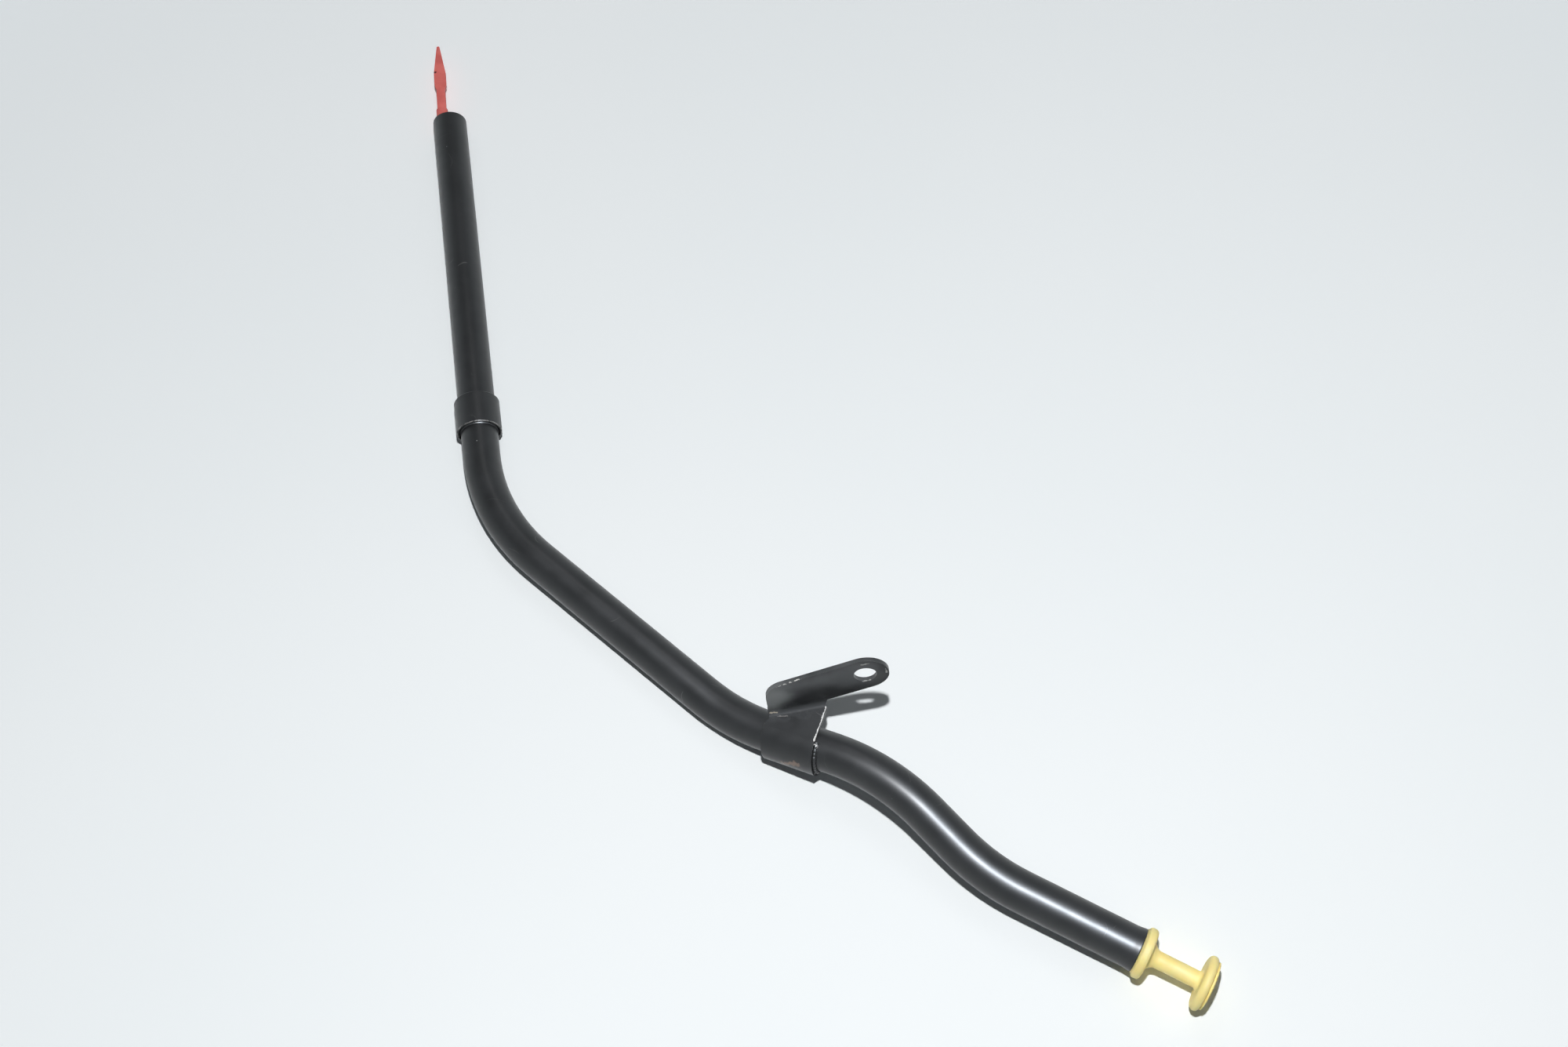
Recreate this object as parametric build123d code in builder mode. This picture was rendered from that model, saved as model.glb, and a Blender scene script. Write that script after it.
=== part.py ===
from build123d import *
import os
from math import asin, cos, radians, sin, tan

# Engine oil dipstick in its bent guide tube, lying on a flat surface.
# Millimetres, +Z up, +X along the pull of the handle seen from above.

# Guide tube: plan length and heading of each straight run, from the lower end to the mouth
tube_od = 14.0
tube_wall = 1.0
bend_radius = 75.0
run_1 = 198.0
run_2 = 121.5
run_3 = 57.0
run_4 = 45.5
run_5 = 53.5
heading_1 = -52.5
heading_2 = -13.3
heading_3 = 3.0
heading_4 = -18.4
corner_b_sag = 0.244
corner_c_height = 18.0
corner_d_height = 11.6
lower_end_chamfer = 0.5
flare_length = 3.0
flare_rise = 0.3
flare_lip = 0.5

# Stop collar, pushed on the lower run and brazed at its upper end
collar_od = 17.2
collar_length = 14.0
collar_from_end = 146.4
collar_chamfer = 0.4
counterbore_rim = 0.75
counterbore_depth = 1.5
collar_fit = 0.05
braze_height = 1.6
braze_gap = 0.02

# Bolt bracket, one folded strip of sheet wrapped round the third run
sheet = 1.5
strap_start = 14.6
strap_width = 19.1
strap_yaw = 6.5
strap_fit = 0.05
strap_loose = 0.4
strap_top_angle = 96.0
strap_wrap = 172.0
fold_skew = 29.5
fold_rise = 81.0
fold_inner_radius = 2.0
fold_along = 14.7
fold_out = 3.8
fold_trim = 1.0
tab_rise = 10.0
tab_left_lean = 9.0
tab_corner_radius = 8.0
tab_end_radius = 7.95
bolt_hole_along = 36.25
bolt_hole_up = 12.5
bolt_hole = 7.6
weld_leg = 1.3
weld_start_turn = 2.0
weld_arc = 165.0
weld_gap = 0.02

# Handle, one yellow moulding turned round the mouth's axis; distances run outward from the mouth
shoulder_od = 15.0
shoulder_gap = 0.1
inner_flange_od = 17.0
inner_flange_start = 0.5
inner_flange_width = 3.0
inner_flange_chamfer = 0.9
stem_od = 5.7
stem_length = 17.0
stem_flare = 3.3
stem_flare_middle = 0.85
stem_outer_chamfer = 1.0
outer_flange_od = 18.4
outer_flange_width = 3.6
outer_rim_chamfer = 1.05
end_disc_rise = 0.5
end_disc_chamfer = 0.25
crease_from_rim = 1.8
crease_width = 0.6
crease_depth = 0.4
plug_od = 10.8
plug_length = 22.0
plug_chamfer = 0.8
cable_socket_depth = 10.0

# Seal ring in the plug, square cut
ring_section = 1.8
ring_chamfer = 0.4
ring_squeeze = 0.05
ring_seat_gap = 0.05
ring_from_mouth = 7.0

# Gauge tip, one red moulding; distances run outward from the tube's lower end
tip_aside = 3.0
tip_drop = 0.5
tip_turn = 1.26
hub_od = 4.9
hub_inside = 9.0
hub_reach = 9.6
hub_chamfer = 1.2
blade_thickness = 1.6
neck_width = 3.7
neck_reach = 20.8
head_base = 22.8
head_width = 5.0
head_taper_start = 30.6
point_reach = 46.3
point_width = 1.2
hub_socket_depth = 7.0

# Cable, flexible steel, between the plug and the tip
cable_strands = 6
cable_od = 3.0
cable_fit = 0.05
cable_end_gap = 0.1
cable_knee = 15.0
cable_aside = 1.0

tube_radius = tube_od / 2
bore_radius = tube_radius - tube_wall
stem_start = inner_flange_start + inner_flange_width
outer_flange_start = stem_start + stem_length
outer_flange_end = outer_flange_start + outer_flange_width
outer_flange_middle = outer_flange_start + outer_flange_width / 2
end_face = outer_flange_end + end_disc_rise
rim_radius = outer_flange_od / 2
crease_radius = rim_radius - crease_from_rim
disc_radius = crease_radius - crease_width

# The part rests on the lower end's rim, the collar's lower edge, the second bend and the outer flange's rim
corner_a_height = tube_radius + (collar_od / 2 - tube_radius) * run_1 / collar_from_end
corner_b_height = tube_radius - corner_b_sag
mouth_drop = asin((corner_d_height - rim_radius) / (run_5 + outer_flange_middle))
mouth_height = corner_d_height - run_5 * sin(mouth_drop)


def plan_step(length, heading):
    return Vector(length * cos(radians(heading)), length * sin(radians(heading)), 0)


# Plan of the route from the lower end, then the shift that centres the whole part on the origin
steps = [
    plan_step(run_1, heading_1),
    plan_step(run_2, heading_2),
    plan_step(run_3, heading_3),
    plan_step(run_4, heading_4),
    plan_step(run_5 * cos(mouth_drop), 0),
]
reach = sum(steps, Vector(0, 0, 0))
tip_out = plan_step(-1, heading_1)
tip_side = Vector(0, 0, 1).cross(tip_out)
turn = radians(tip_turn)
point_middle = tip_side * tip_aside + (tip_out * cos(turn) - tip_side * sin(turn)) * point_reach
point_across = (tip_side * cos(turn) + tip_out * sin(turn)) * point_width / 2
point_left = point_middle + point_across
point_right = point_middle - point_across
box_right = reach.X + end_face * cos(mouth_drop) + disc_radius * sin(mouth_drop)
box_front = reach.Y - rim_radius
lower_end = Vector(-(point_left.X + box_right) / 2, -(point_right.Y + box_front) / 2, tube_radius)

plan_place = Vector(lower_end.X, lower_end.Y, 0)
corners = []
for step, height in zip(steps, [corner_a_height, corner_b_height, corner_c_height, corner_d_height, mouth_height]):
    plan_place = plan_place + step
    corners.append(plan_place + Vector(0, 0, height))
corner_a, corner_b, corner_c, corner_d, mouth = corners

lower_run = (corner_a - lower_end).normalized()
strap_run = (corner_c - corner_b).normalized()
pull = (mouth - corner_d).normalized()
lower_axis = Axis(lower_end, lower_run)
strap_axis = Axis(corner_b, strap_run)
pull_axis = Axis(mouth, pull)
level_across = Vector(0, 1, 0)

# Section planes through the axes: x runs along the axis, y runs outward from it
lower_section = Plane(origin=lower_end, x_dir=lower_run, z_dir=Vector(0, 0, 1).cross(lower_run) * -1)
mouth_section = Plane(origin=mouth, x_dir=pull, z_dir=level_across * -1)

os.makedirs("parts", exist_ok=True)

# Guide tube: drawn steel tube with four bends in different planes and a lightly belled mouth
with BuildPart() as guide_tube:
    with BuildLine() as tube_line:
        FilletPolyline(lower_end, corner_a, corner_b, corner_c, corner_d, mouth, radius=bend_radius)
    with BuildSketch(Plane(origin=lower_end, z_dir=lower_run)):
        Circle(tube_radius)
        Circle(bore_radius, mode=Mode.SUBTRACT)
    sweep(path=tube_line.wire())
    with BuildSketch(mouth_section):
        with BuildLine():
            Polyline(
                (-flare_length, tube_radius - tube_wall / 2),
                (-flare_length, tube_radius),
                (-flare_lip, tube_radius + flare_rise),
                (0, tube_radius + flare_rise),
                (0, tube_radius - tube_wall / 2),
                close=True,
            )
        make_face()
    revolve(axis=pull_axis)
    with BuildSketch(lower_section):
        with BuildLine():
            Polyline(
                (0, tube_radius - lower_end_chamfer),
                (0, tube_od),
                (lower_end_chamfer, tube_od),
                (lower_end_chamfer, tube_radius),
                close=True,
            )
        make_face()
    revolve(axis=lower_axis, mode=Mode.SUBTRACT)
guide_tube.part.label = "guide_tube"
export_step(guide_tube.part, "parts/guide_tube.step")

# Stop collar: turned ring with a counterbored upper end
collar_end = collar_from_end + collar_length
counterbore_radius = collar_od / 2 - counterbore_rim
with BuildPart() as stop_collar:
    with BuildSketch(lower_section):
        with BuildLine():
            Polyline(
                (collar_from_end, tube_radius + collar_fit),
                (collar_from_end, collar_od / 2 - collar_chamfer),
                (collar_from_end + collar_chamfer, collar_od / 2),
                (collar_end - collar_chamfer / 2, collar_od / 2),
                (collar_end, collar_od / 2 - collar_chamfer / 2),
                (collar_end, counterbore_radius),
                (collar_end - counterbore_depth, counterbore_radius),
                (collar_end - counterbore_depth, tube_radius + collar_fit),
                close=True,
            )
        make_face()
    revolve(axis=lower_axis)
stop_collar.part.label = "stop_collar"
export_step(stop_collar.part, "parts/stop_collar.step")

# Braze fillet that fills the corner between the tube and the counterbore's floor
braze_floor = collar_end - counterbore_depth + braze_gap
with BuildPart() as collar_braze:
    with BuildSketch(lower_section):
        with BuildLine():
            Polyline(
                (braze_floor, tube_radius + braze_gap),
                (braze_floor, counterbore_radius - braze_gap),
                (braze_floor + braze_height, tube_radius + braze_gap),
                close=True,
            )
        make_face()
    revolve(axis=lower_axis)
collar_braze.part.label = "collar_braze"
export_step(collar_braze.part, "parts/collar_braze.step")

# Bracket directions: across the strap's run, up from it, and the flat web that leaves the wrap at its top
strap_across = Vector(0, 0, 1).cross(strap_run).normalized()
strap_up = strap_run.cross(strap_across)
top_angle = radians(strap_top_angle)
web_normal = strap_across * cos(top_angle) + strap_up * sin(top_angle)
strap_inner = tube_radius + strap_fit
strap_outer = strap_inner + sheet
strap_end = strap_start + strap_width
strap_middle = strap_start + strap_width / 2
edge_lean = tan(radians(strap_yaw))
wrap_plane = Plane(origin=corner_b + strap_run * strap_middle, x_dir=strap_across, z_dir=strap_run)
web_plane = Plane(origin=corner_b + web_normal * strap_outer, x_dir=strap_run, z_dir=web_normal)

# The fold crosses the web at a skew, so the tab turns away from the tube's run
skew = radians(fold_skew)
rise = radians(fold_rise)
web_out = web_plane.y_dir
fold_run = strap_run * cos(skew) + web_out * sin(skew)
fold_away = web_out * cos(skew) - strap_run * sin(skew)
fold_origin = web_plane.from_local_coords(Vector(fold_along, fold_out, 0))
fold_set_back = fold_inner_radius * tan(rise / 2)
tab_face = web_normal * cos(rise) - fold_away * sin(rise)
fold_plane = Plane(origin=fold_origin, x_dir=fold_away, z_dir=fold_run)
tab_plane = Plane(origin=fold_origin, x_dir=fold_run, z_dir=tab_face)
fold_end_plane = Plane(origin=fold_origin, x_dir=fold_run, z_dir=fold_away * -1)
fold_height = fold_set_back * sin(rise)

# The tab is a strip with a round end; its lower edge meets the fold's end
tab_slope = radians(tab_rise)
tab_normal = Vector(-sin(tab_slope), cos(tab_slope))
hole_centre = Vector(bolt_hole_along, bolt_hole_up)
tab_top = hole_centre + tab_normal * tab_end_radius
tab_low = hole_centre - tab_normal * tab_end_radius
tab_nose = hole_centre + Vector(cos(tab_slope), sin(tab_slope)) * tab_end_radius
fold_length = tab_low.X - (tab_low.Y - fold_set_back) / tan(tab_slope)
left_lean = tan(radians(tab_left_lean))
left_top = (tab_top.Y - tab_top.X * tan(tab_slope)) / (1 - left_lean * tan(tab_slope))
web_left = web_plane.to_local_coords(fold_origin - fold_away * fold_set_back)
fold_foot = fold_length - fold_trim
web_right = web_plane.to_local_coords(fold_origin - fold_away * fold_set_back + fold_run * fold_foot)

# The strip's section is a half wrap, bent a little loose of the tube, and the web tangent to its top
web_reach = web_right.Y + sheet
wrap_top = Vector(cos(top_angle), sin(top_angle))
web_line = Vector(sin(top_angle), -cos(top_angle))
wrap_centre = wrap_top * -strap_loose
web_top = wrap_top * strap_outer + web_line * web_reach
web_under = wrap_top * strap_inner + web_line * web_reach
edge_depth = strap_outer + sheet

with BuildPart() as bracket:
    with BuildSketch(wrap_plane):
        with BuildLine():
            wrap_outside = CenterArc(
                (wrap_centre.X, wrap_centre.Y),
                strap_outer + strap_loose,
                strap_top_angle,
                strap_wrap,
            )
            wrap_inside = CenterArc(
                (wrap_centre.X, wrap_centre.Y),
                strap_inner + strap_loose,
                strap_top_angle,
                strap_wrap,
            )
            Line(wrap_outside @ 1, wrap_inside @ 1)
            Polyline(wrap_outside @ 0, (web_top.X, web_top.Y), (web_under.X, web_under.Y), wrap_inside @ 0)
        make_face()
    extrude(amount=strap_width, both=True)
    with BuildSketch(web_plane):
        with BuildLine():
            Polyline(
                (strap_start + edge_lean * edge_depth, -edge_depth),
                (strap_end + edge_lean * edge_depth, -edge_depth),
                (strap_end, 0),
                (web_right.X, web_right.Y),
                (web_left.X, web_left.Y),
                (strap_start, 0),
                close=True,
            )
        make_face()
    extrude(amount=2 * edge_depth, both=True, mode=Mode.INTERSECT)
    with BuildSketch(fold_plane):
        with BuildLine():
            fold_centre = (-fold_set_back, fold_inner_radius)
            fold_inside = CenterArc(fold_centre, fold_inner_radius, -90, fold_rise)
            fold_outside = CenterArc(fold_centre, fold_inner_radius + sheet, -90, fold_rise)
            Line(fold_inside @ 0, fold_outside @ 0)
            Line(fold_inside @ 1, fold_outside @ 1)
        make_face()
    extrude(amount=fold_length)
    with BuildSketch(fold_end_plane):
        with BuildLine():
            Polyline(
                (fold_foot, -edge_depth),
                (fold_foot, 0),
                (fold_length, fold_height),
                (fold_length + fold_trim, fold_height),
                (fold_length + fold_trim, -edge_depth),
                close=True,
            )
        make_face()
    extrude(amount=edge_depth, both=True, mode=Mode.SUBTRACT)
    with BuildSketch(tab_plane) as tab_sketch:
        with BuildLine():
            Polyline(
                (tab_low.X, tab_low.Y),
                (fold_length, fold_set_back),
                (left_lean * fold_set_back, fold_set_back),
                (left_lean * left_top, left_top),
                (tab_top.X, tab_top.Y),
            )
            ThreePointArc(
                (tab_top.X, tab_top.Y),
                (tab_nose.X, tab_nose.Y),
                (tab_low.X, tab_low.Y),
            )
        make_face()
        fillet(tab_sketch.vertices().sort_by(Axis.X)[1], tab_corner_radius)
        with Locations((bolt_hole_along, bolt_hole_up)):
            Circle(bolt_hole / 2, mode=Mode.SUBTRACT)
    extrude(amount=-sheet)
bracket.part.label = "bracket"
export_step(bracket.part, "parts/bracket.step")

# Weld bead along the strap's upper edge, round the side of the tube
yaw = radians(strap_yaw)
edge_normal = strap_run * cos(yaw) + web_out * sin(yaw)
weld_start = web_normal.rotate(Axis((0, 0, 0), edge_normal), weld_start_turn)
weld_origin = corner_b + strap_run * (strap_end + weld_gap)
with BuildPart() as bracket_weld:
    with BuildSketch(Plane(origin=weld_origin, x_dir=edge_normal, z_dir=edge_normal.cross(weld_start))):
        with BuildLine():
            Polyline(
                (0, bore_radius),
                (0, tube_radius + weld_leg),
                (weld_leg, tube_radius),
                (weld_leg, bore_radius),
                close=True,
            )
        make_face()
    revolve(axis=Axis(weld_origin, edge_normal), revolution_arc=weld_arc)
    with BuildSketch(Plane(origin=corner_b, z_dir=strap_run)):
        Circle(tube_radius + weld_gap)
    extrude(amount=2 * strap_end, mode=Mode.SUBTRACT)
bracket_weld.part.label = "bracket_weld"
export_step(bracket_weld.part, "parts/bracket_weld.step")

# Handle: two flanges on a waisted stem, and a plug that goes into the mouth
plug_radius = plug_od / 2
stem_radius = stem_od / 2
socket_radius = cable_od / 2 + cable_fit
flange_radius = inner_flange_od / 2
ring_outside = bore_radius - ring_squeeze
ring_inside = ring_outside - ring_section
groove_radius = ring_inside - ring_seat_gap
with BuildPart() as handle:
    with BuildSketch(mouth_section):
        with BuildLine():
            Polyline(
                (end_face, 0),
                (-plug_length + cable_socket_depth, 0),
                (-plug_length + cable_socket_depth, socket_radius),
                (-plug_length, socket_radius),
                (-plug_length, plug_radius - plug_chamfer),
                (-plug_length + plug_chamfer, plug_radius),
                (shoulder_gap, plug_radius),
                (shoulder_gap, shoulder_od / 2),
                (inner_flange_start, shoulder_od / 2),
                (inner_flange_start, flange_radius - inner_flange_chamfer),
                (inner_flange_start + inner_flange_chamfer, flange_radius),
                (stem_start - inner_flange_chamfer, flange_radius),
                (stem_start, flange_radius - inner_flange_chamfer),
                (stem_start, stem_radius + stem_flare),
                (stem_start + stem_flare_middle, stem_radius + stem_flare_middle),
                (stem_start + stem_flare, stem_radius),
                (outer_flange_start - stem_outer_chamfer, stem_radius),
                (outer_flange_start, stem_radius + stem_outer_chamfer),
                (outer_flange_start, rim_radius - outer_rim_chamfer),
                (outer_flange_start + outer_rim_chamfer, rim_radius),
                (outer_flange_end - outer_rim_chamfer, rim_radius),
                (outer_flange_end, rim_radius - outer_rim_chamfer),
                (outer_flange_end, crease_radius),
                (outer_flange_end - crease_depth, crease_radius),
                (outer_flange_end - crease_depth, disc_radius),
                (end_face - end_disc_chamfer, disc_radius),
                (end_face, disc_radius - end_disc_chamfer),
                (end_face, 0),
            )
        make_face()
    revolve(axis=pull_axis)
    with BuildSketch(mouth_section):
        with Locations((-ring_from_mouth, groove_radius)):
            Rectangle(ring_section + 2 * ring_seat_gap, plug_radius, align=(Align.CENTER, Align.MIN))
    revolve(axis=pull_axis, mode=Mode.SUBTRACT)
handle.part.label = "handle"
export_step(handle.part, "parts/handle.step")

# Rubber ring that seals and holds the plug in the bore
ring_end = -ring_from_mouth + ring_section / 2
ring_start = -ring_from_mouth - ring_section / 2
with BuildPart() as plug_seal:
    with BuildSketch(mouth_section):
        with BuildLine():
            Polyline(
                (ring_start, ring_inside),
                (ring_end, ring_inside),
                (ring_end, ring_outside - ring_chamfer),
                (ring_end - ring_chamfer, ring_outside),
                (ring_start + ring_chamfer, ring_outside),
                (ring_start, ring_outside - ring_chamfer),
                close=True,
            )
        make_face()
    revolve(axis=pull_axis)
plug_seal.part.label = "plug_seal"
export_step(plug_seal.part, "parts/plug_seal.step")

# The tip hangs to one side of the bore and leans back toward its axis as it goes outward
tip_start = lower_end + tip_side * tip_aside - Vector(0, 0, tip_drop)
tip_run = tip_side * -sin(turn) - lower_run * cos(turn)

# Cable: from the plug's socket round the bends, then a slight knee to the tip's hub; a side for each strand
cable_top = mouth + pull * (cable_socket_depth - plug_length - cable_end_gap)
cable_foot = tip_start - tip_run * (hub_inside - hub_socket_depth + cable_end_gap)
with BuildPart() as cable:
    with BuildLine() as cable_line:
        FilletPolyline(
            cable_foot,
            tip_start - tip_run * cable_knee,
            corner_a + tip_side * cable_aside,
            corner_b,
            corner_c,
            corner_d,
            cable_top,
            radius=bend_radius,
        )
    with BuildSketch(Plane(origin=cable_foot, z_dir=tip_run)):
        RegularPolygon(cable_od / 2, cable_strands)
    sweep(path=cable_line.wire())
cable.part.label = "cable"
export_step(cable.part, "parts/cable.step")

# Gauge tip: round hub for the cable and a flat blade with a long point
tip_plane = Plane(origin=tip_start, x_dir=tip_run, z_dir=tip_run.cross(tip_side))
tip_axis = Axis(tip_start, tip_run)
with BuildPart() as gauge_tip:
    with BuildSketch(tip_plane):
        with BuildLine():
            Polyline(
                (hub_socket_depth - hub_inside, 0),
                (hub_socket_depth - hub_inside, socket_radius),
                (-hub_inside, socket_radius),
                (-hub_inside, hub_od / 2 - hub_chamfer / 2),
                (-hub_inside + hub_chamfer / 2, hub_od / 2),
                (hub_reach - hub_chamfer, hub_od / 2),
                (hub_reach, hub_od / 2 - hub_chamfer),
                (hub_reach, 0),
                close=True,
            )
        make_face()
    revolve(axis=tip_axis)
    with BuildSketch(tip_plane.offset(-blade_thickness / 2)):
        with BuildLine():
            blade_side = Polyline(
                (hub_reach - hub_chamfer, neck_width / 2),
                (neck_reach, neck_width / 2),
                (head_base, head_width / 2),
                (head_taper_start, head_width / 2),
                (point_reach, point_width / 2),
            )
            mirror(blade_side, about=Plane.XZ)
            Line((hub_reach - hub_chamfer, neck_width / 2), (hub_reach - hub_chamfer, -neck_width / 2))
            Line((point_reach, point_width / 2), (point_reach, -point_width / 2))
        make_face()
    extrude(amount=blade_thickness)
gauge_tip.part.label = "gauge_tip"
export_step(gauge_tip.part, "parts/gauge_tip.step")
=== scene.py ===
import math
import bmesh
import bpy
from mathutils import Matrix, Vector
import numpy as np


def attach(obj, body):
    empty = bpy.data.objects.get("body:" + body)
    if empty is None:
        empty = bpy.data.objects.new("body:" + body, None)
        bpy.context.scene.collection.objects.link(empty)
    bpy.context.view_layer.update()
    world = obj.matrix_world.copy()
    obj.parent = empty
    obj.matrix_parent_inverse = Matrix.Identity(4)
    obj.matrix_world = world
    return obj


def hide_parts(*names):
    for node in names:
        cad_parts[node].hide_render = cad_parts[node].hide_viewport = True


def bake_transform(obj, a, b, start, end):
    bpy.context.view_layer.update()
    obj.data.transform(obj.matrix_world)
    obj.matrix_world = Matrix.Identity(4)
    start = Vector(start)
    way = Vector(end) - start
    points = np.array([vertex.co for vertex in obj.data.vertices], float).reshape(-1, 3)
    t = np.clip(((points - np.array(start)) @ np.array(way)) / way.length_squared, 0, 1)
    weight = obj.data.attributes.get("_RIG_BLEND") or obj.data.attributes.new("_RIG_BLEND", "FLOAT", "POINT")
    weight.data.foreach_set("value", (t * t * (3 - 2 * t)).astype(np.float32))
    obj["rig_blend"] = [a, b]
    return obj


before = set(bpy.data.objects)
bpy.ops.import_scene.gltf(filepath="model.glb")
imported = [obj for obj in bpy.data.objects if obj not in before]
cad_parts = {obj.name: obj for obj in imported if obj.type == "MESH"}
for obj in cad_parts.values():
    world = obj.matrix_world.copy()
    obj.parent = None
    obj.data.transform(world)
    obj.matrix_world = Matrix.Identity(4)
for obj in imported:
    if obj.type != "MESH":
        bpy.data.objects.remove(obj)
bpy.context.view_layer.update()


# Guide tube: drawn steel tube, bent cold in four places and painted semi-gloss black.
# The lower end is cut square and the mouth is belled a little to take the plug.
def new_finish(name):
    finish = bpy.data.materials.new(name)
    finish.use_nodes = True
    tree = finish.node_tree
    place = tree.nodes.new("ShaderNodeTexCoord").outputs["Object"]
    return finish, tree, tree.nodes["Principled BSDF"], place


def noise(tree, place, grain, detail):
    texture = tree.nodes.new("ShaderNodeTexNoise")
    texture.inputs["Scale"].default_value = 1.0 / grain
    texture.inputs["Detail"].default_value = detail
    tree.links.new(place, texture.inputs["Vector"])
    return texture.outputs["Fac"]


def between(tree, value, low, high, out_low=0.0, out_high=1.0):
    stretch = tree.nodes.new("ShaderNodeMapRange")
    stretch.interpolation_type = "SMOOTHSTEP"
    sockets = ("From Min", "From Max", "To Min", "To Max")
    for socket, number in zip(sockets, (low, high, out_low, out_high)):
        stretch.inputs[socket].default_value = number
    tree.links.new(value, stretch.inputs["Value"])
    return stretch.outputs["Result"]


def reckon(tree, operation, a, b):
    node = tree.nodes.new("ShaderNodeMath")
    node.operation = operation
    for socket, value in zip(node.inputs, (a, b)):
        if isinstance(value, float):
            socket.default_value = value
        else:
            tree.links.new(value, socket)
    return node.outputs["Value"]


def blend_colour(tree, share, under, over):
    mix = tree.nodes.new("ShaderNodeMix")
    mix.data_type = "RGBA"
    tree.links.new(share, mix.inputs["Factor"])
    for socket, colour in ((mix.inputs[6], under), (mix.inputs[7], over)):
        if isinstance(colour, tuple):
            socket.default_value = (*colour, 1.0)
        else:
            tree.links.new(colour, socket)
    return mix.outputs[2]


def streak(tree, place, start, end, width, grain, core):
    run = Vector(end) - Vector(start)
    from_start = tree.nodes.new("ShaderNodeVectorMath")
    from_start.operation = "SUBTRACT"
    from_start.inputs[1].default_value = start
    tree.links.new(place, from_start.inputs[0])
    along = tree.nodes.new("ShaderNodeVectorMath")
    along.operation = "DOT_PRODUCT"
    along.inputs[1].default_value = run / run.length_squared
    tree.links.new(from_start.outputs["Vector"], along.inputs[0])
    nearest = tree.nodes.new("ShaderNodeVectorMath")
    nearest.operation = "SCALE"
    nearest.inputs[0].default_value = run
    held = reckon(tree, "MINIMUM", reckon(tree, "MAXIMUM", along.outputs["Value"], 0.0), 1.0)
    tree.links.new(held, nearest.inputs["Scale"])
    apart = tree.nodes.new("ShaderNodeVectorMath")
    apart.operation = "DISTANCE"
    tree.links.new(from_start.outputs["Vector"], apart.inputs[0])
    tree.links.new(nearest.outputs["Vector"], apart.inputs[1])
    ragged = between(tree, noise(tree, place, grain, detail=4.0), 0.3, 0.7, -0.5 * width, 0.5 * width)
    edge = reckon(tree, "ADD", apart.outputs["Value"], ragged)
    return between(tree, edge, core * width, width, 1.0, 0.0)


# A mark is a line on the surface: its start and end, half width, grain of its ragged edge, solid core and tint.
def marked(tree, place, colour, marks):
    for start, end, width, grain, core, tint in marks:
        colour = blend_colour(tree, streak(tree, place, start, end, width, grain, core), colour, tint)
    return colour


def raise_surface(tree, shader, height, depth, strength):
    bump = tree.nodes.new("ShaderNodeBump")
    bump.inputs["Distance"].default_value = depth
    bump.inputs["Strength"].default_value = strength
    tree.links.new(height, bump.inputs["Height"])
    tree.links.new(bump.outputs["Normal"], shader.inputs["Normal"])


def black_paint(name, marks=(), matt=0.43, grime=None):
    thick, thin = (0.0065, 0.007, 0.0075), (0.012, 0.0125, 0.0135)
    dust_tint, scratch_tint, bare_steel_and_glint = (0.30, 0.31, 0.31), (0.16, 0.16, 0.16), (0.62, 0.61, 0.60)
    dust_cells_per_metre, duller = 230.0, 0.3
    mottle_grain, hair_grain, hair_patch, wear_and_glint_patch = 0.011, 0.020, 0.009, 0.0018
    gloss_patch, gloss_spread, paint_peel = 0.006, 0.08, 0.0016
    finish, tree, shader, place = new_finish(name)
    mottle = noise(tree, place, mottle_grain, detail=4.0)
    colour = blend_colour(tree, between(tree, mottle, 0.3, 0.7), thick, thin)

    dust_cells = tree.nodes.new("ShaderNodeTexVoronoi")
    dust_cells.inputs["Scale"].default_value = dust_cells_per_metre
    tree.links.new(place, dust_cells.inputs["Vector"])
    dust_pick = tree.nodes.new("ShaderNodeSeparateColor")
    tree.links.new(dust_cells.outputs["Color"], dust_pick.inputs["Color"])
    dust_here = between(tree, dust_pick.outputs["Red"], 0.82, 0.84)
    dust_speck = between(tree, dust_cells.outputs["Distance"], 0.03, 0.06, 0.7, 0.0)
    dust = reckon(tree, "MULTIPLY", dust_speck, dust_here)
    colour = blend_colour(tree, dust, colour, dust_tint)

    hair = reckon(tree, "SUBTRACT", noise(tree, place, hair_grain, detail=1.0), 0.5)
    hair = reckon(tree, "ABSOLUTE", hair, 0.0)
    hair_line = between(tree, hair, 0.0008, 0.0022, 0.32, 0.0)
    hair_here = between(tree, noise(tree, place, hair_patch, detail=2.0), 0.60, 0.66)
    scratch = reckon(tree, "MULTIPLY", hair_line, hair_here)
    colour = blend_colour(tree, scratch, colour, scratch_tint)
    colour = marked(tree, place, colour, marks)

    # Faces marked in the edge attribute turn bare steel: worn paint on cut edges, and painted glints on rounded
    # rims.
    edge = tree.nodes.new("ShaderNodeAttribute")
    edge.attribute_name = "wear_and_glint"
    patchy = between(tree, noise(tree, place, wear_and_glint_patch, detail=3.0), 0.35, 0.55)
    worn_and_glint = reckon(tree, "MULTIPLY", edge.outputs["Fac"], patchy)
    colour = blend_colour(tree, worn_and_glint, colour, bare_steel_and_glint)
    tree.links.new(colour, shader.inputs["Base Color"])

    gloss = noise(tree, place, gloss_patch, detail=3.0)
    rough = between(tree, gloss, 0.3, 0.7, matt, matt + gloss_spread)
    rough = reckon(tree, "ADD", rough, reckon(tree, "MULTIPLY", dust, duller))
    if grime:
        rough = reckon(tree, "ADD", rough, reckon(tree, "MULTIPLY", streak(tree, place, *grime), duller))
    tree.links.new(rough, shader.inputs["Roughness"])
    shader.inputs["Specular IOR Level"].default_value = 0.32
    shader.inputs["Coat Weight"].default_value = 0.45
    shader.inputs["Coat Roughness"].default_value = 0.33
    raise_surface(tree, shader, noise(tree, place, paint_peel, detail=2.0), depth=0.00008, strength=0.06)
    return finish


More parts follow.
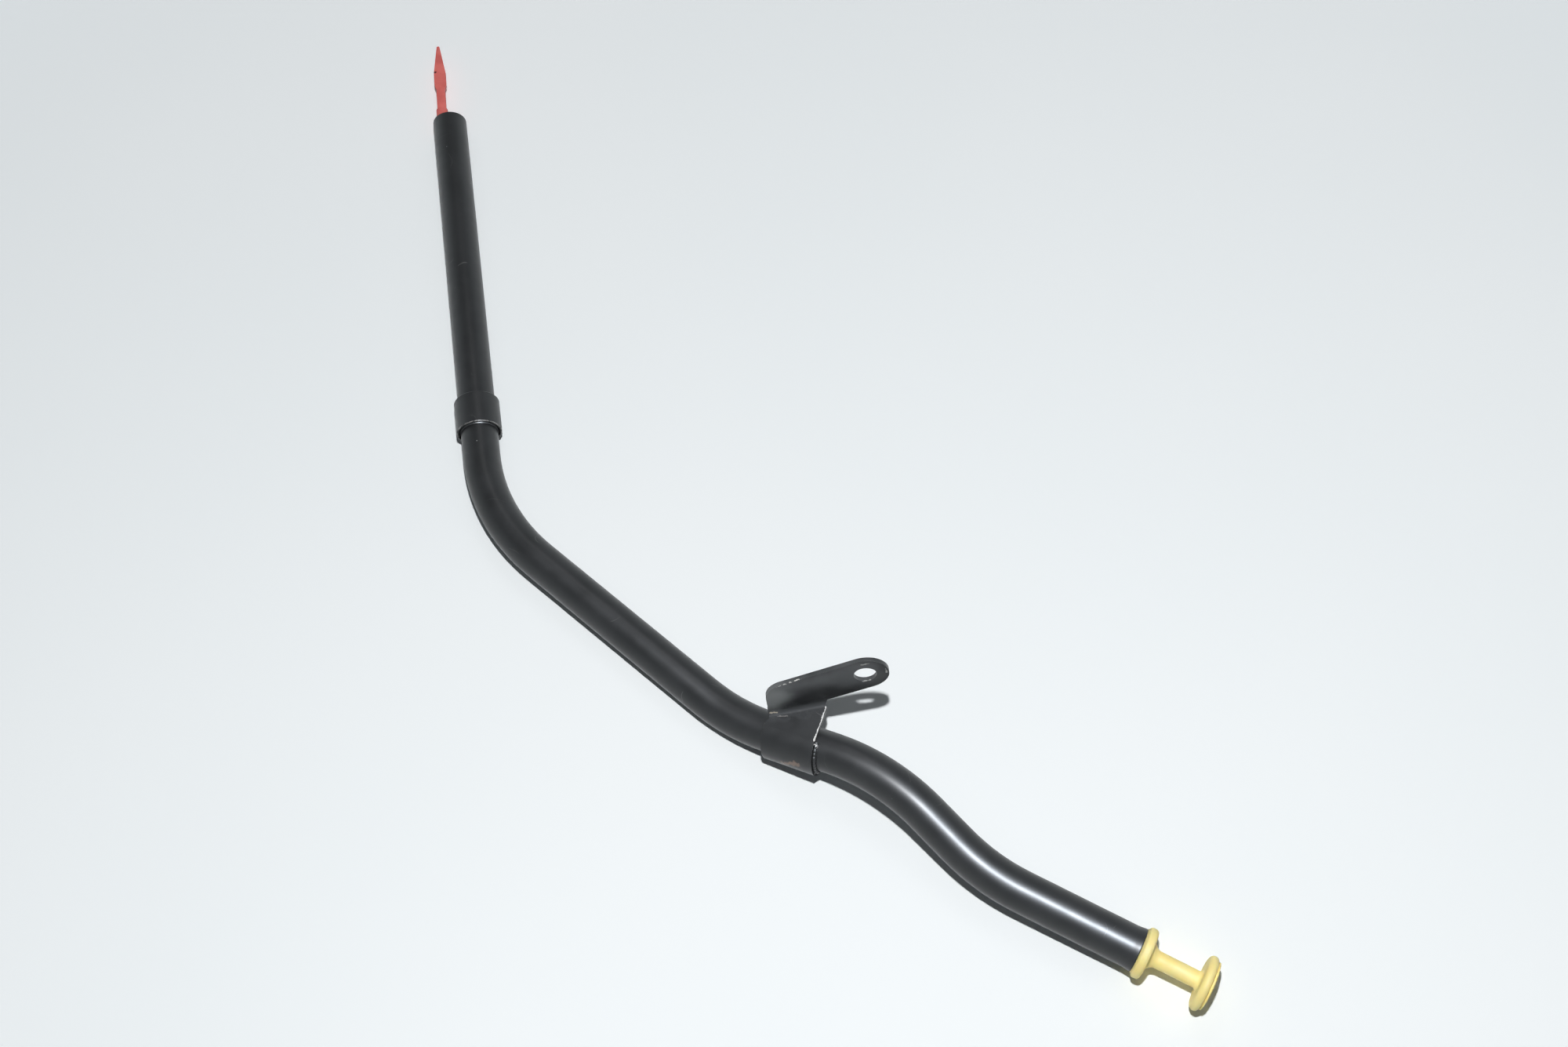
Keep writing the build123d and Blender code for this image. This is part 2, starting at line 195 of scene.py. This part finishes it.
def settle(form, name, body, node, finish):
    mesh = bpy.data.meshes.new(name)
    for face in form.faces:
        face.smooth = True
    form.to_mesh(mesh)
    form.free()
    piece = bpy.data.objects.new(name, mesh)
    bpy.context.scene.collection.objects.link(piece)
    mesh.materials.append(finish)
    if isinstance(body, str):
        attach(piece, body)
    else:
        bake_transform(piece, *body)
    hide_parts(node)
    return piece


def even_shading(piece):
    shading = piece.modifiers.new("even_shading", "WEIGHTED_NORMAL")
    shading.keep_sharp = True
    shading.weight = 60


def rounded(form, edges, width, steps):
    return bmesh.ops.bevel(
        form,
        geom=edges,
        offset=width,
        offset_type="OFFSET",
        segments=steps,
        profile=0.5,
        affect="EDGES",
        clamp_overlap=True,
        material=-1,
    )["faces"]


def square_to(spot, run):
    return Matrix.Translation(spot) @ run.to_track_quat("Z", "Y").to_matrix().to_4x4()


route = [
    Vector((-0.193456, 0.084871, 0.007)),
    Vector((-0.072922, -0.072213, 0.009164)),
    Vector((0.045320, -0.100164, 0.006756)),
    Vector((0.102241, -0.097181, 0.018)),
    Vector((0.145415, -0.111543, 0.0116)),
    Vector((0.198889, -0.111543, 0.009906)),
]
bend_radius = 0.075
step_turn = math.radians(2.5)


def drawn_on(form, loop, step):
    made = bmesh.ops.extrude_edge_only(form, edges=loop)["geom"]
    bmesh.ops.translate(form, verts=[v for v in made if isinstance(v, bmesh.types.BMVert)], vec=step)
    return [e for e in made if isinstance(e, bmesh.types.BMEdge) and e.is_boundary]


def widened(loop, centre, out):
    for vert in {v for edge in loop for v in edge.verts}:
        vert.co = centre + (vert.co - centre).normalized() * out
    return loop


def bent_along(form, loop, path):
    run, place = (path[1] - path[0]).normalized(), path[0]
    for corner, onward in zip(path[1:-1], path[2:]):
        leave = (onward - corner).normalized()
        turn = run.angle(leave)
        shortened = bend_radius * math.tan(turn / 2)
        inward = (leave - run * leave.dot(run)).normalized()
        bend_start = corner - run * shortened
        loop = drawn_on(form, loop, bend_start - place)
        bent = bmesh.ops.spin(
            form,
            geom=loop,
            cent=bend_start + inward * bend_radius,
            axis=run.cross(leave).normalized(),
            angle=turn,
            steps=math.ceil(turn / step_turn),
            use_merge=False,
        )
        loop = [e for e in bent["geom_last"] if isinstance(e, bmesh.types.BMEdge)]
        run, place = leave, corner + leave * shortened
    return drawn_on(form, loop, path[-1] - place)


lower_end, mouth = route[0], route[-1]
lower_run, pull = (route[1] - lower_end).normalized(), (mouth - route[-2]).normalized()
outer_radius, bore_radius, tube_sides = 0.007, 0.006, 56
rim_round, rim_steps, rim_corner, same_spot = 0.00022, 3, math.radians(60), 2e-6
bell_length = 0.0032
belled = [(0.0026, 0.00703), (0.0019, 0.00711), (0.0012, 0.00722), (0.0005, 0.0073), (0.0, 0.0073)]
no_step = Vector((0.0, 0.0, 0.0))
pipe = bmesh.new()
bmesh.ops.create_circle(pipe, segments=tube_sides, radius=outer_radius, matrix=square_to(lower_end, lower_run))
rim = bent_along(pipe, pipe.edges[:], route[:-1] + [mouth - pull * bell_length])
reached = bell_length
for back, out in belled:
    rim = widened(drawn_on(pipe, rim, pull * (reached - back)), mouth - pull * back, out)
    reached = back
rim = widened(drawn_on(pipe, rim, no_step), mouth, bore_radius)
rim = bent_along(pipe, rim, route[::-1])
widened(drawn_on(pipe, rim, no_step), lower_end, outer_radius)
bmesh.ops.remove_doubles(pipe, verts=pipe.verts, dist=same_spot)
bmesh.ops.recalc_face_normals(pipe, faces=pipe.faces)
rounded(pipe, [e for e in pipe.edges if e.calc_face_angle() > rim_corner], rim_round, rim_steps)
even_shading(settle(pipe, "bent_pipe", "tube", "guide_tube", black_paint("tube_paint")))


# Stop collar: turned steel ring pushed on the lower run, brazed in a counterbore at its upper end.
# It is painted with the tube, so the paint is thin; the glints on its upper rim are painted highlights.
nearly_flat, sharp_corner, edge_steps = math.radians(0.6), math.radians(30.0), 3


def softened_copy(node, edge_width):
    form = bmesh.new()
    form.from_mesh(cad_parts[node].data)
    form.faces.layers.float.new("wear_and_glint")
    bmesh.ops.remove_doubles(form, verts=form.verts, dist=same_spot)
    bmesh.ops.dissolve_limit(form, angle_limit=nearly_flat, verts=form.verts, edges=form.edges)
    sharp = [e for e in form.edges if e.is_manifold and e.calc_face_angle() > sharp_corner]
    return form, rounded(form, sharp, edge_width, edge_steps)


collar_form, collar_rounds = softened_copy("stop_collar", edge_width=0.00019)
wear_and_glint = collar_form.faces.layers.float["wear_and_glint"]
collar_from_end, upper_rim_painted_glint = 0.1534, 0.30
collar_middle = lower_end + lower_run * collar_from_end
# Rounds on the upper rim are lightened as a painted highlight, for the glints of its rounded edges.
for face in collar_rounds:
    on_upper_rim = (face.calc_center_median() - collar_middle).dot(lower_run) > 0.0
    face[wear_and_glint] = upper_rim_painted_glint if on_upper_rim else 0.0
collar_paint = black_paint("collar_paint")
even_shading(settle(collar_form, "collar", "tube", "stop_collar", collar_paint))
braze_form = softened_copy("collar_braze", edge_width=0.00006)[0]
braze_paint = black_paint("braze_paint", matt=0.50)
even_shading(settle(braze_form, "braze_ring", "tube", "collar_braze", braze_paint))


# Bracket: one strip of pressed steel sheet, half wrapped round the tube, with a skewed fold and a bolt tab.
# Paint has worn off its cut edges, and a rust mark shows on the wrap.
# The tab's face carries painted reflections, and painted glints sit on the weld, round the hole and along the
# edges.
bracket_form, bracket_rounds = softened_copy("bracket", edge_width=0.00038)
wear_and_glint = bracket_form.faces.layers.float["wear_and_glint"]
# Rounds on the cut edge are worn bare; the other rounds carry worn paint and a painted glint together.
cut_wear, edge_wear_and_glint = 0.85, 0.55
cut_before, cut_length, cut_reach = -0.001, 0.0135, 0.0018
cut_low, cut_high = Vector((0.0767, -0.0994, 0.0216)), Vector((0.0750, -0.0875, 0.0227))
cut_run = (cut_high - cut_low).normalized()
for face in bracket_rounds:
    middle = face.calc_center_median() - cut_low
    along = middle.dot(cut_run)
    on_cut = cut_before < along < cut_length and (middle - cut_run * along).length < cut_reach
    face[wear_and_glint] = cut_wear if on_cut else edge_wear_and_glint
# The marks over, under and beside the hole are painted glints on its rims. The dashes along the tab's top edge
# are paint chips, lightened further as painted glints.
hole_rim_glint = (0.42, 0.42, 0.41)
chips_and_glints_from, chips_and_glints_to = Vector((0.0594, -0.0931, 0.0342)), Vector((0.0652, -0.0884, 0.0377))
chip_and_glint_spans = ((0.0, 0.18), (0.33, 0.42), (0.60, 0.66), (0.85, 1.0))
# Painted reflections: the tab's face and its left end are lightened where the real tab mirrors its
# surroundings.
tab_painted_reflection = ((0.0590, -0.0941, 0.0310), (0.0830, -0.0775, 0.0420), 0.0095, 0.030, 0.0, (0.085, 0.089, 0.093))
end_painted_reflection = ((0.0580, -0.0948, 0.0260), (0.0600, -0.0935, 0.0290), 0.0080, 0.030, 0.0, (0.17, 0.18, 0.18))
rust = ((0.0690, -0.1078, 0.0112), (0.0738, -0.1071, 0.0146), 0.0013, 0.0012, 0.2, (0.17, 0.112, 0.080))
fold_scratch = (
    (0.0583, -0.0966, 0.0191), (0.0604, -0.0954, 0.0195), 0.00030, 0.0006, 0.4, (0.30, 0.265, 0.21),
)
web_scratch = (
    (0.0612, -0.0964, 0.0190), (0.0642, -0.0951, 0.0197), 0.00028, 0.0008, 0.3, (0.15, 0.145, 0.14),
)
bare_cut = (cut_low, cut_high, 0.00045, 0.0012, 0.5, (0.78, 0.78, 0.77))
weld_glint = ((0.0775, -0.1003, 0.0210), (0.0782, -0.1006, 0.0204), 0.0006, 0.0005, 0.4, (0.60, 0.60, 0.59))
weld_end_glint = (
    (0.0803, -0.1060, 0.0107), (0.0810, -0.1048, 0.0102), 0.0005, 0.0005, 0.4, (0.45, 0.45, 0.44),
)
over_hole = ((0.08259, -0.07688, 0.04411), (0.08471, -0.07550, 0.04468), 0.00034, 0.0008, 0.4, hole_rim_glint)
under_hole = ((0.0838, -0.0781, 0.0343), (0.0858, -0.0767, 0.0349), 0.00034, 0.0008, 0.4, hole_rim_glint)
beside_hole = ((0.0897, -0.0734, 0.0412), (0.0900, -0.0732, 0.0388), 0.00036, 0.0008, 0.4, hole_rim_glint)
bracket_marks = [tab_painted_reflection, end_painted_reflection, rust, fold_scratch, web_scratch, bare_cut, weld_glint, weld_end_glint]
bracket_marks += [over_hole, under_hole, beside_hole]
for first, last in chip_and_glint_spans:
    dash_start, dash_end = chips_and_glints_from.lerp(chips_and_glints_to, first), chips_and_glints_from.lerp(chips_and_glints_to, last)
    bracket_marks.append((dash_start, dash_end, 0.00036, 0.0005, 0.3, (0.62, 0.61, 0.59)))
fold_grime = ((0.0570, -0.0971, 0.0181), (0.0758, -0.0849, 0.0232), 0.0035, 0.002, 0.5)
bracket_paint = black_paint("bracket_paint", bracket_marks, matt=0.42, grime=fold_grime)
even_shading(settle(bracket_form, "bolt_bracket", "tube", "bracket", bracket_paint))


# Weld: one bead of filler run by hand along the strap's edge, lumpy where it starts and stops.
# It is painted over with the bracket.
weld_origin = Vector((0.078357, -0.098432, 0.013282))
weld_axis = Vector((0.965272, 0.163325, 0.203899))
weld_start = Vector((-0.180249, -0.148587, 0.972333))
weld_reach, weld_radius, weld_along, weld_turn = 0.0073, 0.00075, 0.00045, math.radians(165)
bead_sides, bead_steps = 14, 132
# A ripple is its depth, waves over the turn and start. A lump is its height, place in the turn and spread.
ripples = ((0.10, 38.0, 0.0), (0.06, 17.0, 1.0))
lumps = ((0.35, 0.06, 0.08), (0.30, 1.75, 0.10))
bead = bmesh.new()
bmesh.ops.create_circle(bead, segments=bead_sides, radius=weld_radius)
across = Matrix((weld_axis, weld_start, weld_axis.cross(weld_start))).transposed().to_4x4()
first_spot = weld_origin + weld_axis * weld_along + weld_start * weld_reach
bmesh.ops.transform(bead, matrix=Matrix.Translation(first_spot) @ across, verts=bead.verts)
bmesh.ops.spin(
    bead,
    geom=bead.edges[:],
    cent=weld_origin,
    axis=weld_axis,
    angle=weld_turn,
    steps=bead_steps,
    use_merge=False,
)
bmesh.ops.holes_fill(bead, edges=bead.edges, sides=0)
for vert in bead.verts:
    out = vert.co - weld_origin
    flat = out - weld_axis * out.dot(weld_axis)
    turn = math.atan2(flat.dot(weld_axis.cross(weld_start)), flat.dot(weld_start))
    heart = weld_origin + weld_axis * weld_along + flat.normalized() * weld_reach
    swell = 1.0 + sum(depth * math.sin(turn * waves + start) for depth, waves, start in ripples)
    swell += sum(height * math.exp(-(((turn - spot) / spread) ** 2)) for height, spot, spread in lumps)
    vert.co = heart + (vert.co - heart) * swell
bmesh.ops.recalc_face_normals(bead, faces=bead.faces)
settle(bead, "weld_bead", "tube", "bracket_weld", bracket_paint)


# Handle: one moulding of pale yellow plastic, two flanges on a waisted stem with a plug behind.
# Every edge is rounded by the mould, and a crease runs round the disc on its end face.
def plastic(name, pale, deep, matt, glow, glow_radius, marks=()):
    cloud_grain, gloss_grain, gloss_spread, mould_grain = 0.007, 0.003, 0.05, 0.0009
    finish, tree, shader, place = new_finish(name)
    cloudy = between(tree, noise(tree, place, cloud_grain, detail=4.0), 0.35, 0.65)
    colour = marked(tree, place, blend_colour(tree, cloudy, deep, pale), marks)
    tree.links.new(colour, shader.inputs["Base Color"])
    gloss = noise(tree, place, gloss_grain, detail=3.0)
    rough = between(tree, gloss, 0.3, 0.7, matt - gloss_spread, matt + gloss_spread)
    tree.links.new(rough, shader.inputs["Roughness"])
    shader.inputs["Specular IOR Level"].default_value = 0.3
    shader.inputs["Subsurface Weight"].default_value = glow
    shader.inputs["Subsurface Radius"].default_value = glow_radius
    shader.inputs["Subsurface Scale"].default_value = 0.001
    raise_surface(tree, shader, noise(tree, place, mould_grain, detail=3.0), depth=0.0001, strength=0.15)
    return finish


def ring(form, along, out):
    def on_it(vert):
        return abs(vert.co.x - along) < ring_gap and abs(vert.co.yz.length - out) < ring_gap

    return [edge for edge in form.edges if all(on_it(vert) for vert in edge.verts)]


across_mouth = Vector((0, 1, 0))
mouth_turn = Matrix((pull, across_mouth, pull.cross(across_mouth))).transposed().to_4x4()
handle_sides, pole_gap, ring_gap = 96, 1e-7, 1e-6
# Each corner of the outline is its place along the mouth's axis and its radius. Each round adds the round's
# own radius and its steps.
outline = [
    (-0.012, 0.0), (-0.012, 0.00155), (-0.022, 0.00155), (-0.022, 0.0054), (-0.00795, 0.0054),
    (-0.00795, 0.0041), (-0.00605, 0.0041), (-0.00605, 0.0054), (0.0001, 0.0054), (0.0001, 0.0075),
    (0.0005, 0.0075), (0.0005, 0.0085), (0.0035, 0.0085), (0.0035, 0.00285), (0.0205, 0.00285),
    (0.0205, 0.0092), (0.0236, 0.0092), (0.0236, 0.0072), (0.0239, 0.0072), (0.0239, 0.0080),
    (0.0243, 0.0080), (0.0243, 0.0068), (0.0246, 0.0068), (0.0246, 0.0),
]
rounds = [
    (-0.022, 0.0054, 0.0008, 3), (0.0005, 0.0085, 0.0009, 6), (0.0035, 0.0085, 0.0012, 6),
    (0.0035, 0.00285, 0.0033, 9), (0.0205, 0.00285, 0.0013, 6), (0.0205, 0.0092, 0.00154, 8),
    (0.0236, 0.0092, 0.00152, 8), (0.0243, 0.0080, 0.00018, 3), (0.0246, 0.0068, 0.0002, 3),
]
knob = bmesh.new()
corners = [knob.verts.new((along, out, 0.0)) for along, out in outline]
for first, second in zip(corners, corners[1:]):
    knob.edges.new((first, second))
bmesh.ops.spin(
    knob,
    geom=knob.verts[:] + knob.edges[:],
    cent=(0, 0, 0),
    axis=(1, 0, 0),
    angle=math.tau,
    steps=handle_sides,
    use_merge=True,
)
bmesh.ops.remove_doubles(knob, verts=knob.verts, dist=pole_gap)
bmesh.ops.recalc_face_normals(knob, faces=knob.faces)
for along, out, radius, steps in rounds:
    rounded(knob, ring(knob, along, out), radius, steps)
bmesh.ops.transform(knob, matrix=Matrix.Translation(mouth) @ mouth_turn, verts=knob.verts)
pale_yellow, deep_yellow, yellow_glow = (0.99, 0.84, 0.357), (0.97, 0.79, 0.30), (1.0, 0.7, 0.3)
yellow = plastic("handle_plastic", pale_yellow, deep_yellow, matt=0.55, glow=0.3, glow_radius=yellow_glow)
even_shading(settle(knob, "pull_handle", "head", "handle", yellow))


# Seal ring: black rubber ring sprung into the plug's groove, which holds the plug in the mouth.
# Rubber is matt, with a fine moulded grain.
rubber, tree, shader, place = new_finish("seal_rubber")
bloom = between(tree, noise(tree, place, grain=0.002, detail=3.0), 0.3, 0.7)
rubber_tone = blend_colour(tree, bloom, (0.012, 0.012, 0.012), (0.028, 0.028, 0.027))
rubber_rough = between(tree, noise(tree, place, grain=0.001, detail=2.0), 0.3, 0.7, 0.55, 0.75)
tree.links.new(rubber_tone, shader.inputs["Base Color"])
tree.links.new(rubber_rough, shader.inputs["Roughness"])
raise_surface(tree, shader, noise(tree, place, grain=0.0004, detail=2.0), depth=0.00005, strength=0.3)
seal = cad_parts["plug_seal"]
seal.data.materials.clear()
seal.data.materials.append(rubber)


# Cable: six steel strands laid up round a core, pressed into the plug at one end and the tip at the other.
# Its ends go with the plug and the tip and its middle lies still in the tube. The length between each end
# and the middle gives way, where the real cable slides round the bends.
steel, tree, shader, place = new_finish("cable_steel")
oil = between(tree, noise(tree, place, grain=0.004, detail=3.0), 0.35, 0.65)
steel_tone = blend_colour(tree, oil, (0.52, 0.51, 0.49), (0.33, 0.30, 0.25))
steel_rough = between(tree, noise(tree, place, grain=0.002, detail=2.0), 0.3, 0.7, 0.25, 0.42)
tree.links.new(steel_tone, shader.inputs["Base Color"])
tree.links.new(steel_rough, shader.inputs["Roughness"])
shader.inputs["Metallic"].default_value = 1.0
strands, strand_depth, rope_radius, rope_sides = 6, 0.10, 0.00132, 48
lay_length, lay_step = 0.018, 0.0008


def strand_ring():
    rope = bmesh.new()
    bmesh.ops.create_circle(rope, segments=rope_sides, radius=rope_radius)
    for vert in rope.verts:
        vert.co *= 1.0 + strand_depth * math.cos(strands * math.atan2(vert.co.y, vert.co.x))
    return rope


def closed_rope(rope):
    bmesh.ops.holes_fill(rope, edges=rope.edges, sides=0)
    bmesh.ops.recalc_face_normals(rope, faces=rope.faces)
    return rope


def laid_strands(start, run, length):
    rope = strand_ring()
    steps = round(length / lay_step)
    bmesh.ops.spin(
        rope,
        geom=rope.edges[:],
        cent=(0, 0, 0),
        axis=(0, 0, 1),
        dvec=(0, 0, length / steps),
        angle=math.tau * length / lay_length,
        steps=steps,
        use_merge=False,
    )
    bmesh.ops.transform(rope, matrix=square_to(start, run), verts=rope.verts)
    return closed_rope(rope)


def giving_length(first, first_run, last, last_run):
    rope = strand_ring()
    near = rope.verts[:]
    drawn_on(rope, rope.edges[:], no_step)
    far = [vert for vert in rope.verts if vert not in near]
    bmesh.ops.transform(rope, matrix=square_to(first, first_run), verts=near)
    bmesh.ops.transform(rope, matrix=square_to(last, last_run), verts=far)
    return closed_rope(rope)


tip_start, tip_run = Vector((-0.195836, 0.083045, 0.0065)), Vector((-0.591133, 0.8065, -0.010926))
plug_depth, tip_depth = 0.0121, 0.0021
plug_socket, plug_strands = mouth - pull * plug_depth, 0.041
tip_socket, tip_strands = tip_start - tip_run * tip_depth, 0.034
still_from_mouth, still_from_lower_end = 0.070, 0.092
at_plug = laid_strands(plug_socket, -pull, plug_strands)
settle(at_plug, "cable_at_plug", "head", "cable", steel)
at_tip = laid_strands(tip_socket, -tip_run, tip_strands)
settle(at_tip, "cable_at_tip", "tip", "cable", steel)

inner = bmesh.new()
inner.from_mesh(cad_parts["cable"].data)
bmesh.ops.remove_doubles(inner, verts=inner.verts, dist=same_spot)
still_ends = []
for point, normal in (
    (mouth - pull * still_from_mouth, pull),
    (lower_end + lower_run * still_from_lower_end, -lower_run),
):
    every = inner.verts[:] + inner.edges[:] + inner.faces[:]
    cut = bmesh.ops.bisect_plane(inner, geom=every, plane_co=point, plane_no=normal, clear_outer=True)
    cut_spots = [item.co for item in cut["geom_cut"] if isinstance(item, bmesh.types.BMVert)]
    still_ends.append(sum(cut_spots, Vector()) / len(cut_spots))
settle(closed_rope(inner), "cable_in_tube", "tube", "cable", steel)

clear_of_ends, give_start, give_end = 0.0001, 0.2, 0.8
for name, body, first, first_run, last, last_run in (
    ("cable_gives_at_plug", "head", plug_socket - pull * plug_strands, -pull, still_ends[0], -pull),
    ("cable_gives_at_tip", "tip", tip_socket - tip_run * tip_strands, -tip_run, still_ends[1], lower_run),
):
    first, last = first + first_run * clear_of_ends, last - last_run * clear_of_ends
    gives = (body, "tube", first.lerp(last, give_start), first.lerp(last, give_end))
    rope = giving_length(first, first_run, last, last_run)
    settle(rope, name, gives, "cable", steel)


# Gauge tip: one red plastic moulding pressed on the cable's end, a round hub and a flat pointed blade.
# Oil has faded it a little, and one edge has a small dark mark.
tip_form = softened_copy("gauge_tip", edge_width=0.0003)[0]
dark_edge_mark = ((-0.2162, 0.1062, 0.0069), (-0.2156, 0.1070, 0.0070), 0.0006, 0.0005, 0.5, (0.10, 0.02, 0.02))
pale_red, deep_red, red_glow = (0.87, 0.205, 0.178), (0.76, 0.156, 0.138), (1.0, 0.3, 0.2)
red = plastic("tip_plastic", pale_red, deep_red, matt=0.60, glow=0.1, glow_radius=red_glow, marks=[dark_edge_mark])
even_shading(settle(tip_form, "gauge_blade", "tip", "gauge_tip", red))


# Studio: a pale painted table in a room with pale walls and a dark ceiling. A small lamp beside the
# camera gives the shadow, another the long highlight and two wide ones a soft sheen. The camera
# stands where the photograph was taken.
table = bmesh.new()
bmesh.ops.create_grid(table, x_segments=1, y_segments=1, size=3.0)
table_mesh = bpy.data.meshes.new("table")
table.to_mesh(table_mesh)
table.free()
table_top = bpy.data.objects.new("table", table_mesh)
bpy.context.scene.collection.objects.link(table_top)
pale, tree, shader, place = new_finish("table_paint")
cloud = between(tree, noise(tree, place, grain=0.25, detail=2.0), 0.3, 0.7)
table_colour = blend_colour(tree, cloud, (0.80, 0.838, 0.855), (0.815, 0.848, 0.863))
tree.links.new(table_colour, shader.inputs["Base Color"])
shader.inputs["Roughness"].default_value = 0.6
shader.inputs["Specular IOR Level"].default_value = 0.25
table_mesh.materials.append(pale)


def seen_ray(tree):
    ray = tree.nodes.new("ShaderNodeLightPath")
    seen = reckon(tree, "MAXIMUM", ray.outputs["Is Camera Ray"], ray.outputs["Is Glossy Ray"])
    return reckon(tree, "MAXIMUM", seen, ray.outputs["Is Transmission Ray"])


def either_shader(tree, share, first, second):
    either = tree.nodes.new("ShaderNodeMixShader")
    tree.links.new(share, either.inputs["Fac"])
    tree.links.new(first, either.inputs[1])
    tree.links.new(second, either.inputs[2])
    return either.outputs["Shader"]


bright_spot = (0.041, -0.082, 0.0)
least_lift, lift_with_distance, most_lift = 1.06, 3.5, 3.0
fade_start, fade_end = 0.40, 0.70
away = tree.nodes.new("ShaderNodeVectorMath")
away.operation = "DISTANCE"
away.inputs[1].default_value = bright_spot
tree.links.new(place, away.inputs[0])
apart = reckon(tree, "MULTIPLY", away.outputs["Value"], away.outputs["Value"])
paler = reckon(tree, "ADD", reckon(tree, "MULTIPLY", apart, lift_with_distance), least_lift)
paler = reckon(tree, "MINIMUM", paler, most_lift)
lifted = tree.nodes.new("ShaderNodeVectorMath")
lifted.operation = "SCALE"
tree.links.new(table_colour, lifted.inputs[0])
tree.links.new(paler, lifted.inputs["Scale"])
backdrop = tree.nodes.new("ShaderNodeBsdfDiffuse")
tree.links.new(lifted.outputs["Vector"], backdrop.inputs["Color"])
far_wall = (0.70, 0.76, 0.79)
far_floor = tree.nodes.new("ShaderNodeEmission")
far_floor.inputs["Color"].default_value = (*far_wall, 1.0)
far_share = between(tree, away.outputs["Value"], fade_start, fade_end)
seen_floor = either_shader(tree, far_share, backdrop.outputs["BSDF"], far_floor.outputs["Emission"])
floor_look = either_shader(tree, seen_ray(tree), shader.outputs["BSDF"], seen_floor)
tree.links.new(floor_look, tree.nodes["Material Output"].inputs["Surface"])

ceiling, ceiling_from, ceiling_full = (0.10, 0.11, 0.12), 0.15, 0.9
room = bpy.data.worlds.new("room")
bpy.context.scene.world = room
room.use_nodes = True
tree = room.node_tree
fill = tree.nodes["Background"]
fill.inputs["Color"].default_value = (0.93, 0.97, 1.0, 1.0)
fill.inputs["Strength"].default_value = 0.10
wall = tree.nodes.new("ShaderNodeBackground")
toward = tree.nodes.new("ShaderNodeSeparateXYZ")
tree.links.new(tree.nodes.new("ShaderNodeTexCoord").outputs["Generated"], toward.inputs["Vector"])
upward = between(tree, toward.outputs["Z"], ceiling_from, ceiling_full)
wall_colour = blend_colour(tree, upward, far_wall, ceiling)
tree.links.new(wall_colour, wall.inputs["Color"])
room_look = either_shader(tree, seen_ray(tree), fill.outputs["Background"], wall.outputs["Background"])
tree.links.new(room_look, tree.nodes["World Output"].inputs["Surface"])


def hang_lamp(name, size, energy, stand, aim):
    light = bpy.data.lights.new(name, "AREA")
    light.shape = "DISK"
    light.size = size
    light.energy = energy
    lamp = bpy.data.objects.new(name, light)
    bpy.context.scene.collection.objects.link(lamp)
    turn = (Vector(aim) - Vector(stand)).to_track_quat("-Z", "Y").to_matrix().to_4x4()
    lamp.matrix_world = Matrix.Translation(stand) @ turn
    lamp.visible_camera = False
    return lamp


by_camera = (0.11255, -0.16528, 0.61733)
hang_lamp("key_lamp", size=0.022, energy=3.5, stand=by_camera, aim=(0.02, -0.03, 0.0))
by_mouth = (0.240, -0.165, 0.617)
sheen_lamp = hang_lamp("sheen_lamp", size=0.12, energy=8.0, stand=by_mouth, aim=(0.15, -0.10, 0.0))
sheen_lamp.visible_diffuse = False
sheen_lamp.data.color = (0.80, 0.89, 1.0)
hang_lamp("far_softbox", size=0.35, energy=0.5, stand=(-0.25, 0.45, 0.95), aim=(-0.20, 0.15, 0.0))
at_side = (0.75, 0.35, 0.55)
side_softbox = hang_lamp("side_softbox", size=0.5, energy=0.7, stand=at_side, aim=(-0.10, 0.0, 0.0))
side_softbox.visible_diffuse = False

film_width, focal_pixels, picture_pixels = 36.0, 2100.4, 2000.0
camera_stand = (0.17265, -0.278904, 0.536494)
right, up = Vector((0.885256, 0.464546, -0.022774)), Vector((-0.396309, 0.77904, 0.485836))
camera_data = bpy.data.cameras.new("camera")
camera_data.sensor_width = film_width
camera_data.sensor_fit = "HORIZONTAL"
camera_data.lens = film_width * focal_pixels / picture_pixels
camera_data.clip_start = 0.01
camera = bpy.data.objects.new("camera", camera_data)
bpy.context.scene.collection.objects.link(camera)
look = Matrix((right, up, right.cross(up))).transposed().to_4x4()
camera.matrix_world = Matrix.Translation(camera_stand) @ look
bpy.context.scene.camera = camera
bpy.context.scene.view_settings.view_transform = "Standard"
